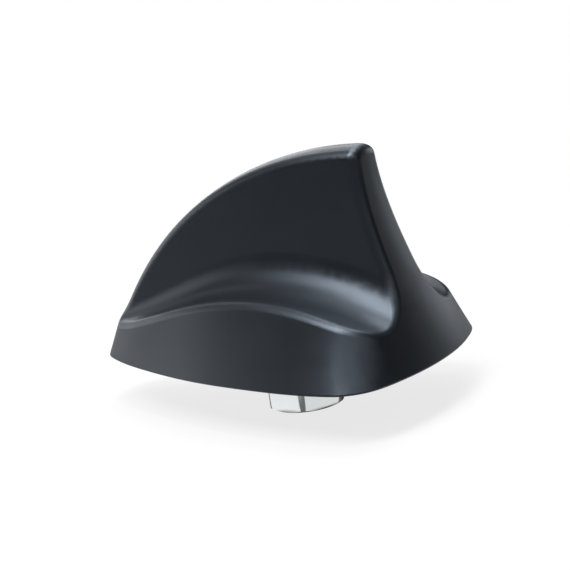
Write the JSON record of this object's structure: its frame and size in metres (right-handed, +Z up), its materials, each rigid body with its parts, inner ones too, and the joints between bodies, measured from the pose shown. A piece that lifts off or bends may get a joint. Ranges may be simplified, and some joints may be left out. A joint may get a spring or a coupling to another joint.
{
  "type": "roof aerial",
  "caption": "Short black roof aerial in the shape of a fin, with scooped flanks, a flared skirt and a hollow threaded stem with a hexagon nut for fixing through a roof panel.",
  "frame": {"origin": "on the axis of the threaded stem, at the underside of the gasket, which lies on the outside of the roof", "axes": "+X to the nose, the front of the vehicle; +Y to the left; +Z up, away from the roof"},
  "size_m": [0.116, 0.0712, 0.0752],
  "materials": {
    "cover": "satin",
    "rubber": "matte",
    "casting": "satin",
    "stem": "satin",
    "nut": "satin",
    "washer": "satin",
    "screws": "satin",
    "board": "satin",
    "sheet": "satin",
    "patch": "matte",
    "pad": "matte",
    "tin": "satin",
    "chips": "satin",
    "ferrite": "matte",
    "copper": "satin",
    "sockets": "polished"
  },
  "bodies": {
    "root": {"fin_cover": "cover", "base_gasket": "rubber", "base_chassis": "casting", "threaded_stem": "stem", "cover_seal": "rubber", "contact_washer": "washer", "hex_nut": "nut", "cable_grommet": "rubber", "cover_screws": "screws", "main_board": "board", "board_screws": "screws", "fin_board": "board", "radiator_hat": "sheet", "gps_pad": "pad", "gps_patch": "patch", "gps_pin": "sockets", "shield_can": "tin", "amplifier_chip": "chips", "filter_block": "chips", "choke_core": "ferrite", "choke_winding": "copper", "board_chips": "chips", "lead_sockets": "sockets"}
  },
  "joints": []
}
